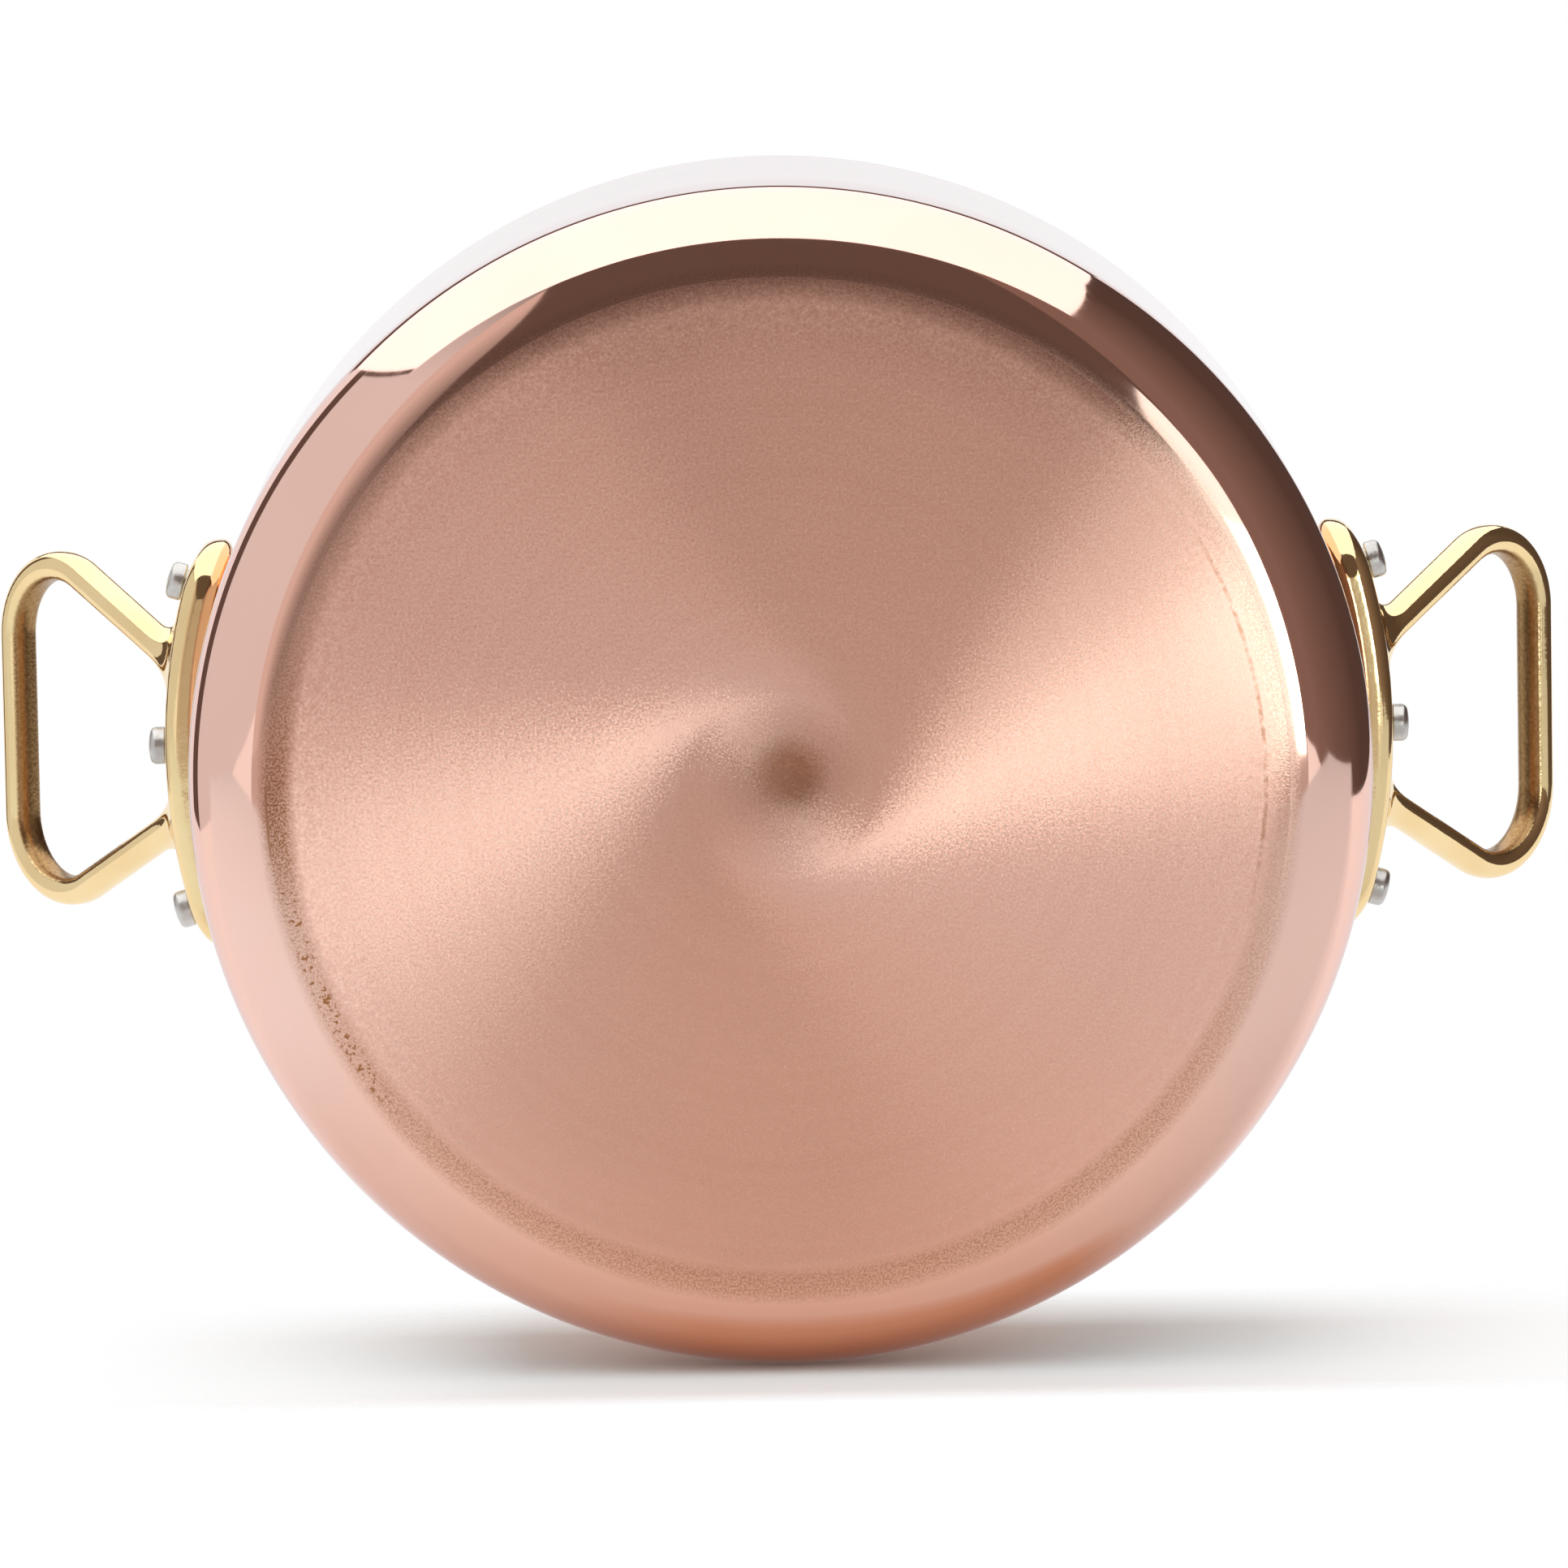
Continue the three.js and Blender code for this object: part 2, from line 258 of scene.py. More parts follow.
# Light levels, where 1 is a white that renders as white
WORLD_LEVEL = 1.0
WORLD_FILL = 0.84
SOFTBOX_LEVEL = 1.6
STRIP_LEVEL = 5.0
STRIP_EDGE_LEVEL = 0.6
STRIP_TOP_LEVEL = 1.5
DARK_LEVEL = 0.13
DARK_RIGHT_LEVEL = 0.24
DARK_RIGHT_BACK_LEVEL = 0.095
LEFT_LEVEL = 0.76
LEFT_FRONT_EDGE_LEVEL = 0.30
PALE_FRONT_LEVEL = 0.27
PALE_FRONT_LEFT_LEVEL = 0.72
LOW_FRONT_LEVEL = 0.53
LOW_FRONT_LEFT_LEVEL = 0.60
WHITE = (1.0, 1.0, 1.0, 1.0)
COOL_WHITE = (0.92, 1.0, 0.97, 1.0)
WARM_DARK = (1.0, 0.70, 0.58, 1.0)
WARM_PALE = (1.0, 0.85, 0.78, 1.0)

# Floor under an upright pan, which fades out round it
UPRIGHT_FLOOR = -0.5
UPRIGHT_FLOOR_HALF = 1200.0
UPRIGHT_FLOOR_FADES = (("radius", (420.0, 180.0)),)
FLOOR_COLOUR = (0.90, 0.90, 0.90, 1.0)

# Floor that the photographed pan lies on, with the ends of its look and of its reflection along X and Z
REST_GAP = 0.3
SIDE_FLOOR_FADES = (
    ("Z", (-25.0, -14.0)),
    ("Z", (88.0, 48.0)),
    ("X", (-120.0, -45.0)),
    ("X", (160.0, 80.0)),
)
SIDE_FLOOR_REFLECTED_END = (6.0, 80.0)
# Cool tint painted on the floor next to the pan, against the copper's warm bounce light in its shade
FLOOR_COLOUR_NEAR = (0.82, 0.97, 1.0, 1.0)
FLOOR_NEAR = (50.0, 115.0)
FLOOR_NEAR_HEIGHT = (-20.0, 20.0)
# Painted tones of the floor in reflections: paler light at the left, shade at the right, warm copper bounce
# near the pan and warm shade under it
FLOOR_REFLECTED_LEFT = (0.76, 0.80, 0.82, 1.0)
FLOOR_REFLECTED_NEAR = (0.75, 0.65, 0.57, 1.0)
FLOOR_REFLECTED_RIGHT = (0.66, 0.68, 0.69, 1.0)
FLOOR_REFLECTED_UNDER_SHADE = (0.64, 0.44, 0.31, 1.0)
FLOOR_LEFT_PART = (-150.0, -20.0)
FLOOR_RIGHT_PART = (20.0, 150.0)
FLOOR_UNDER_LEFT = (-45.0, -15.0)
FLOOR_UNDER_RIGHT = (55.0, 75.0)
FLOOR_UNDER_HEIGHT = (-10.0, -1.0)

# Edges of the studio in metres: right of the pan, above it and toward the camera
FLOOR_LEVEL = -0.10
FLOOR_FRONT = 0.75
FLOOR_BACK = -0.40
WALL_LEFT = -1.30
WALL_RIGHT = 1.15
WALL_FRONT = 2.50
DARK_FRONT_PLANE = 2.48
PALE_FRONT_PLANE = 2.55
WALL_BACK = -3.40
WALL_TOP = 4.00
BOX_HEIGHT = 0.95
BOX_FRONT = 0.83
BOX_BACK = -1.95
BOX_BACK_LEFT = -1.20
BOX_BACK_RIGHT = 0.77
OVER_LEFT_HEIGHT = 1.60
LEFT_FRONT_START = 1.10
LEFT_BACK_START = -0.77
LEFT_BACK_END = -1.36
LEFT_BACK_LOW = -0.25
LEFT_BACK_TOP = 1.12
LOW_FRONT_FOOT = -0.90
FRONT_SEAM = -0.05
RIGHT_FOOT = -0.22
PALE_FOOT = -0.24
STRIP_PLANE = 1.50
STRIP_LEFT = 0.19
STRIP_RIGHT = 0.75
STRIP_SEAM_LEFT = -0.05
STRIP_SEAM_RIGHT = 0.21


def level_corners(up, *corners):
    """Corners of a level board from their places to the right and toward the camera."""
    return [(right, up, toward) for right, toward in corners]


def wall_corners(right, *corners):
    """Corners of an upright board at the side from their places up and toward the camera."""
    return [(right, up, toward) for up, toward in corners]


def front_corners(toward, *corners):
    """Corners of a board that faces the base from their places to the right and up."""
    return [(right, up, toward) for right, up in corners]


# Each card: name, corners, level, colour, whether it lights the floor, and a fade along one axis or None
CARDS = (
    (
        "softbox",
        level_corners(
            BOX_HEIGHT, (-0.93, BOX_FRONT), (0.71, BOX_FRONT), (0.69, -0.49), (BOX_BACK_RIGHT, BOX_BACK),
            (BOX_BACK_LEFT, BOX_BACK),
        ),
        SOFTBOX_LEVEL, WHITE, True, None,
    ),
    (
        "dark_behind_softbox",
        level_corners(
            BOX_HEIGHT, (BOX_BACK_LEFT, BOX_BACK), (BOX_BACK_RIGHT, BOX_BACK), (0.90, WALL_BACK),
            (-1.40, WALL_BACK),
        ),
        DARK_LEVEL, WARM_DARK, False, None,
    ),
    (
        "dark_over_left",
        level_corners(OVER_LEFT_HEIGHT, (-2.60, 1.39), (-0.60, 1.39), (-0.60, -2.00), (-2.60, -2.00)),
        DARK_LEVEL, WARM_DARK, False, None,
    ),
    (
        "white_left",
        wall_corners(
            WALL_LEFT, (FLOOR_LEVEL, LEFT_FRONT_START), (LEFT_BACK_LOW, LEFT_BACK_START),
            (LEFT_BACK_TOP, LEFT_BACK_START), (1.28, LEFT_FRONT_START),
        ),
        LEFT_LEVEL, WHITE, False, None,
    ),
    (
        "dark_left",
        wall_corners(
            WALL_LEFT, (LEFT_BACK_LOW, LEFT_BACK_START), (LEFT_BACK_LOW, LEFT_BACK_END),
            (LEFT_BACK_TOP, LEFT_BACK_END), (LEFT_BACK_TOP, LEFT_BACK_START),
        ),
        DARK_LEVEL, WARM_DARK, False, None,
    ),
    (
        "left_front",
        wall_corners(
            WALL_LEFT, (FLOOR_LEVEL, WALL_FRONT), (FLOOR_LEVEL, LEFT_FRONT_START),
            (WALL_TOP, LEFT_FRONT_START), (WALL_TOP, WALL_FRONT),
        ),
        LEFT_LEVEL, WHITE, True, ("Y", -1.20, -2.60, LEFT_FRONT_EDGE_LEVEL),
    ),
    (
        "dark_right",
        wall_corners(
            WALL_RIGHT, (RIGHT_FOOT, WALL_FRONT), (-0.157, 1.60), (-0.19, WALL_BACK),
            (WALL_TOP, WALL_BACK), (WALL_TOP, WALL_FRONT),
        ),
        DARK_RIGHT_LEVEL, WARM_DARK, False, ("Z", -1.30, 0.50, DARK_RIGHT_BACK_LEVEL),
    ),
    (
        "dark_front",
        front_corners(
            DARK_FRONT_PLANE, (-0.27, FRONT_SEAM), (0.55, FRONT_SEAM), (0.62, RIGHT_FOOT),
            (WALL_RIGHT, RIGHT_FOOT), (WALL_RIGHT, WALL_TOP), (-1.90, WALL_TOP),
        ),
        DARK_LEVEL, WARM_DARK, False, None,
    ),
    (
        "pale_front",
        front_corners(
            PALE_FRONT_PLANE, (WALL_LEFT, PALE_FOOT), (0.0, PALE_FOOT), (0.0, WALL_TOP), (-2.00, WALL_TOP),
        ),
        PALE_FRONT_LEVEL, WARM_PALE, False, ("X", -0.25, -1.05, PALE_FRONT_LEFT_LEVEL),
    ),
    (
        "low_front",
        front_corners(
            WALL_FRONT, (WALL_LEFT, LOW_FRONT_FOOT), (WALL_RIGHT, LOW_FRONT_FOOT),
            (WALL_RIGHT, FRONT_SEAM), (-0.15, FRONT_SEAM), (-0.30, -0.20), (WALL_LEFT, -0.22),
        ),
        LOW_FRONT_LEVEL, WARM_PALE, False, ("X", -0.15, -0.90, LOW_FRONT_LEFT_LEVEL),
    ),
    (
        "strip",
        front_corners(
            STRIP_PLANE, (STRIP_LEFT, -0.158), (0.68, -0.152), (STRIP_RIGHT, STRIP_SEAM_RIGHT),
            (STRIP_LEFT, STRIP_SEAM_LEFT),
        ),
        STRIP_EDGE_LEVEL, COOL_WHITE, True, ("X", STRIP_LEFT, 0.48, STRIP_LEVEL),
    ),
    (
        "strip_top",
        front_corners(
            STRIP_PLANE, (STRIP_LEFT, STRIP_SEAM_LEFT), (STRIP_RIGHT, STRIP_SEAM_RIGHT),
            (STRIP_RIGHT, 0.32), (0.64, 0.50), (0.25, 0.07),
        ),
        STRIP_TOP_LEVEL, COOL_WHITE, False, None,
    ),
)


def place(right, up, toward):
    """A point given as the photograph sees it, in metres from the middle of the base."""
    return Vector((right, -up, -toward))


def add_piece(name, points, faces, node, slot, material):
    """A smooth mesh of points in millimetres that stands for one solid of the frame."""
    mesh = bpy.data.meshes.new(name)
    mesh.from_pydata((np.asarray(points) * MM).tolist(), [], [list(face) for face in faces])
    mesh.shade_smooth()
    mesh.set_sharp_from_angle(angle=SHARP_ANGLE)
    mesh.materials.append(material)
    piece = bpy.data.objects.new(name, mesh)
    bpy.context.scene.collection.objects.link(piece)
    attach(piece, "root")
    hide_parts(node)
    return piece


def revolve(profile, segments):
    """Points and faces of a closed body turned about Z from a profile that starts and ends on the axis."""
    rings = profile[1:-1]
    points = [(0.0, 0.0, profile[0][1])]
    for radius, height in rings:
        for step in range(segments):
            angle = 2 * math.pi * step / segments
            points.append((radius * math.cos(angle), radius * math.sin(angle), height))
    points.append((0.0, 0.0, profile[-1][1]))
    last = len(points) - 1
    faces = []
    for step in range(segments):
        after = (step + 1) % segments
        faces.append((0, 1 + after, 1 + step))
        for ring in range(len(rings) - 1):
            low = 1 + ring * segments
            high = low + segments
            faces.append((low + step, low + after, high + after, high + step))
        end = 1 + (len(rings) - 1) * segments
        faces.append((last, end + step, end + after))
    return np.array(points), faces


def arc(centre_radius, centre_height, radius, start, end, steps):
    """Profile points on an arc, angles in degrees from the outward direction."""
    points = []
    for step in range(steps + 1):
        angle = math.radians(start + (end - start) * step / steps)
        points.append((centre_radius + radius * math.cos(angle), centre_height + radius * math.sin(angle)))
    return points


def roll_end(body_radius):
    """Radius at which the gentle roll of the base meets the corner's arc."""
    return body_radius - CORNER_RADIUS + CORNER_RADIUS * math.sin(ROLL_END_ANGLE)


def base_height(radius, body_radius, bottom):
    """Height of the underside at a radius: flat, then a gentle roll that runs into the corner's arc."""
    length = roll_end(body_radius) - ROLL_START
    rise = bottom + CORNER_RADIUS * (1 - math.cos(ROLL_END_ANGLE))
    power = math.tan(ROLL_END_ANGLE) * length / rise
    share = min(max((radius - ROLL_START) / length, 0.0), 1.0)
    return rise * share ** power


def rim_and_inside(outer_radius, bottom, top, corner, thickness, edge):
    """Profile of a cup from the top of its outer wall over the rim, down inside and back to the axis."""
    turn = outer_radius - corner
    inner_radius = outer_radius - thickness
    profile = arc(outer_radius - edge, top - edge, edge, 0, 90, EDGE_STEPS)
    profile += arc(inner_radius + edge, top - edge, edge, 90, 180, EDGE_STEPS)
    profile += arc(turn, bottom + corner, corner - thickness, 0, -90, CORNER_STEPS)
    profile += [(turn * share, bottom + thickness) for share in reversed(FLOOR_RINGS)]
    profile += [(0.0, bottom + thickness)]
    return profile


def shell_profile(radius, bottom, top, disc_radius):
    """Profile of the copper shell: over the disc, along the roll, round the corner, up and back inside."""
    start = disc_radius + SEAM
    profile = [(0.0, bottom), (FLOOR_RINGS[0] * start, bottom), (start, bottom)]
    for step in range(ROLL_STEPS):
        out = start + (roll_end(radius) - start) * step / ROLL_STEPS
        profile.append((out, base_height(out, radius, bottom)))
    first = math.degrees(ROLL_END_ANGLE) - 90
    profile += arc(radius - CORNER_RADIUS, bottom + CORNER_RADIUS, CORNER_RADIUS, first, 0, CORNER_STEPS)
    return profile + rim_and_inside(radius, bottom, top, CORNER_RADIUS, COPPER_THICKNESS, RIM_EDGE)


def lining_profile(radius, bottom, top):
    """Profile of the steel lining, which follows the inside of the copper."""
    inset = COPPER_THICKNESS + BOND_GAP
    outer = radius - inset
    corner = CORNER_RADIUS - inset
    floor = bottom + inset
    turn = outer - corner
    profile = [(0.0, floor)]
    profile += [(turn * share, floor) for share in FLOOR_RINGS]
    profile += arc(turn, floor + corner, corner, -90, 0, CORNER_STEPS)
    return profile + rim_and_inside(outer, floor, top, corner, LINING_THICKNESS, LINING_EDGE)


def disc_profile(disc_radius, body_radius, thickness):
    """Profile of the matte disc: a shallow centre dimple, a flat face and a rolled edge."""
    profile = []
    for step in range(DIMPLE_STEPS + 1):
        share = step / DIMPLE_STEPS
        depth = DIMPLE_DEPTH * (0.5 + 0.5 * math.cos(math.pi * share))
        profile.append((DIMPLE_RADIUS * share, depth))
    for step in range(1, DISC_RINGS + 1):
        profile.append((DIMPLE_RADIUS + (ROLL_START - DIMPLE_RADIUS) * step / DISC_RINGS, 0.0))
    for step in range(1, ROLL_STEPS + 1):
        out = ROLL_START + (disc_radius - ROLL_START) * step / ROLL_STEPS
        profile.append((out, base_height(out, body_radius, thickness)))
    profile += [(disc_radius, thickness), (0.0, thickness)]
    return profile


class Handle:
    """The right-hand casting as a distance field in millimetres, for a body of a given radius and rim."""

    def __init__(self, body_radius, rim_height):
        self.seat = body_radius + PLATE_GAP
        self.face = self.seat + PLATE_THICKNESS
        self.rivet_height = rim_height - RIVET_DROP
        half_feet = FOOT_SPACING / 2
        self.foot = np.array([0.0, half_feet])
        self.foot_radius = math.sqrt(self.face ** 2 - half_feet ** 2)
        self.turn = np.array([LOOP_REACH, LOOP_WIDTH / 2]) - LOOP_CORNER_RADIUS
        to_turn = self.turn - self.foot
        reach = math.hypot(*to_turn)
        self.leg_length = math.sqrt(reach ** 2 - LOOP_CORNER_RADIUS ** 2)
        self.lean = math.atan2(to_turn[1], to_turn[0]) + math.asin(LOOP_CORNER_RADIUS / reach)
        # Angle at which the leg runs into the corner arc, from the outward direction
        self.lean_end = self.lean + math.pi / 2
        self.turn_length = LOOP_CORNER_RADIUS * self.lean_end

    def loop_place(self, points):
        """Distance along the loop, offset outward in its plane and offset across it."""
        outward = points[:, 0] - self.foot_radius
        upward = points[:, 2] - self.rivet_height - FOOT_RISE
        reach = outward * math.cos(HANDLE_TILT) + upward * math.sin(HANDLE_TILT)
        across = upward * math.cos(HANDLE_TILT) - outward * math.sin(HANDLE_TILT)
        side = np.abs(points[:, 1])

        leg_reach = reach - self.foot[0]
        leg_side = side - self.foot[1]
        leg_along = leg_reach * math.cos(self.lean) + leg_side * math.sin(self.lean)
        leg_offset = leg_side * math.cos(self.lean) - leg_reach * math.sin(self.lean)
        leg_miss = np.hypot(leg_offset, leg_along - np.clip(leg_along, -FOOT_SINK, self.leg_length))

        turn_reach = reach - self.turn[0]
        turn_side = side - self.turn[1]
        turn_angle = np.arctan2(turn_side, turn_reach)
        turn_offset = np.hypot(turn_reach, turn_side) - LOOP_CORNER_RADIUS
        on_turn = (turn_angle >= 0) & (turn_angle <= self.lean_end)
        turn_miss = np.where(on_turn, np.abs(turn_offset), np.inf)
        turn_along = self.leg_length + LOOP_CORNER_RADIUS * (self.lean_end - turn_angle)

        bar_offset = reach - LOOP_REACH
        bar_miss = np.where(side <= self.turn[1], np.abs(bar_offset), np.inf)
        bar_along = self.leg_length + self.turn_length + self.turn[1] - side

        nearest = np.argmin(np.stack([leg_miss, turn_miss, bar_miss]), axis=0)
        along = np.choose(nearest, [leg_along, turn_along, bar_along])
        offset = np.choose(nearest, [leg_offset, turn_offset, bar_offset])
        return along, offset, across

    def loop(self, points):
        """Distance to the loop, negative inside."""
        along, offset, across = self.loop_place(points)
        half_width = 0.5 * BAR_WIDTH
        half_depth = 0.5 * BAR_DEPTH
        wide = (np.abs(offset) / half_width) ** BAR_SQUARENESS
        deep = (np.abs(across) / half_depth) ** BAR_SQUARENESS
        distance = ((wide + deep) ** (1 / BAR_SQUARENESS) - 1) * half_width
        return np.maximum(distance, -along - FOOT_SINK)

    def plate(self, points):
        """Distance to the riveting plate, negative inside."""
        radius = np.hypot(points[:, 0], points[:, 1])
        along = np.abs(np.arctan2(points[:, 1], points[:, 0])) * self.face
        height = points[:, 2] - self.rivet_height - PLATE_RISE
        half_height = PLATE_HEIGHT / 2
        half_length = RIVET_SPACING_ANGLE * self.face + PLATE_END_MARGIN
        outline = np.hypot(np.maximum(along - half_length + half_height, 0), height) - half_height
        past_straight = np.clip((along - half_length + half_height) / half_height, 0, 1)
        fullness = np.sqrt(1 - past_straight ** 2)
        thickness = PLATE_TIP_THICKNESS + (PLATE_THICKNESS - PLATE_TIP_THICKNESS) * fullness
        slab = np.abs(radius - self.seat - thickness / 2) - thickness / 2
        edge_out = outline + PLATE_EDGE
        edge_thick = slab + PLATE_EDGE
        inside = np.minimum(np.maximum(edge_out, edge_thick), 0)
        return inside + np.hypot(np.maximum(edge_out, 0), np.maximum(edge_thick, 0)) - PLATE_EDGE

    def field(self, points):
        """Distance to the whole casting, loop and plate run together in a fillet."""
        loop = self.loop(points)
        plate = self.plate(points)
        share = np.clip(0.5 + 0.5 * (plate - loop) / NECK_FILLET, 0, 1)
        casting = plate + (loop - plate) * share - NECK_FILLET * share * (1 - share)
        return np.maximum(casting, self.seat - np.hypot(points[:, 0], points[:, 1]))

    def inner_face(self, points):
        """1 on the less polished face inside the loop, 0 elsewhere."""
        along, offset, _ = self.loop_place(points)
        start, end = INNER_FACE_SPAN
        inward = -offset / (0.5 * BAR_WIDTH)
        facing = np.clip((inward - start) / (end - start), 0, 1)
        clear = np.clip((along - NECK_LENGTH) / NECK_LENGTH, 0, 1)
        return facing * clear


def surface_net(field, low, high, cell):
    """Points and quads of the surface where a distance field is zero, found on a grid of cells."""
    axes = [np.arange(start, end + cell, cell) for start, end in zip(low, high)]
    grid = np.stack(np.meshgrid(*axes, indexing="ij"), axis=-1)
    values = field(grid.reshape(-1, 3)).reshape(grid.shape[:3])
    inside = values < 0
    cells = np.array(values.shape) - 1
    corners = list(np.ndindex(2, 2, 2))

    def corner_of(array, corner):
        spans = tuple(slice(start, start + count) for start, count in zip(corner, cells))
        return array[spans]

    filled = sum(corner_of(inside, corner).astype(int) for corner in corners)
    crossed = (filled > 0) & (filled < len(corners))
    number = np.full(crossed.shape, -1)
    number[crossed] = np.arange(crossed.sum())
    total = np.zeros((crossed.sum(), 3))
    hits = np.zeros((crossed.sum(), 1))
    for corner in corners:
        for axis in range(3):
            if corner[axis] == 1:
                continue
            other = tuple(1 if index == axis else corner[index] for index in range(3))
            near = corner_of(values, corner)[crossed]
            far = corner_of(values, other)[crossed]
            hit = ((near < 0) != (far < 0))[:, None]
            span = np.where(near == far, 1.0, near - far)
            share = (near / span)[:, None]
            start = corner_of(grid, corner)[crossed]
            end = corner_of(grid, other)[crossed]
            total += np.where(hit, start + (end - start) * share, 0)
            hits += hit
    points = total / hits
    quads = []
    for axis in range(3):
        first = (axis + 1) % 3
        second = (axis + 2) % 3
        near = inside[tuple(slice(0, -1) if index == axis else slice(1, -1) for index in range(3))]
        far = inside[tuple(slice(1, None) if index == axis else slice(1, -1) for index in range(3))]
        crossing = near != far
        edges = np.argwhere(crossing)
        around = []
        for first_step, second_step in ((0, 0), (1, 0), (1, 1), (0, 1)):
            neighbour = edges.copy()
            neighbour[:, first] += first_step
            neighbour[:, second] += second_step
            around.append(number[tuple(neighbour.T)])
        ring = np.stack(around, axis=1)
        entering = ~near[crossing]
        ring[entering] = ring[entering][:, ::-1]
        quads.append(ring)
    return points, np.concatenate(quads)


def settle(field, points, most):
    """Moves points along the field's slope to where it is zero, at most a given step each round."""
    for _ in range(SETTLE_ROUNDS):
        value = field(points)
        slope = np.zeros_like(points)
        for axis in range(3):
            step = np.zeros(3)
            step[axis] = SLOPE_STEP
            slope[:, axis] = (field(points + step) - field(points - step)) / (2 * SLOPE_STEP)
        steepness = np.maximum((slope ** 2).sum(axis=1), LEAST_DIVISOR)
        move = slope * (value / steepness)[:, None]
        length = np.maximum(np.linalg.norm(move, axis=1, keepdims=True), LEAST_DIVISOR)
        points = points - move * np.minimum(1, most / length)
    return points


def rivet_profile(inner_top, outer_top):
    """Profile of a set rivet along its axis: domed inner head, shank, flat outer head with a round edge."""
    inner_radius = RIVET_INNER_DIAMETER / 2
    shank_radius = RIVET_SHANK_DIAMETER / 2
    head_radius = RIVET_HEAD_DIAMETER / 2
    inner_seat = inner_top + RIVET_INNER_HEIGHT
    outer_seat = outer_top - RIVET_HEAD_HEIGHT
    profile = []
    for step in range(RIVET_STEPS + 1):
        angle = 0.5 * math.pi * step / RIVET_STEPS
        profile.append((inner_radius * math.sin(angle), inner_seat - RIVET_INNER_HEIGHT * math.cos(angle)))
    profile += [(shank_radius, inner_seat), (shank_radius, outer_seat)]
    shoulder = outer_top - RIVET_HEAD_CROWN - RIVET_HEAD_EDGE
    profile += [(head_radius - RIVET_HEAD_CROWN, outer_seat), (head_radius, outer_seat + RIVET_HEAD_CROWN)]
    flat_radius = head_radius - RIVET_HEAD_EDGE
    profile += arc(flat_radius, shoulder, RIVET_HEAD_EDGE, 0, RIVET_HEAD_TURN, RIVET_STEPS)
    half_way = 0.5
    profile += [(half_way * flat_radius, outer_top - half_way ** 2 * RIVET_HEAD_CROWN), (0.0, outer_top)]
    return profile


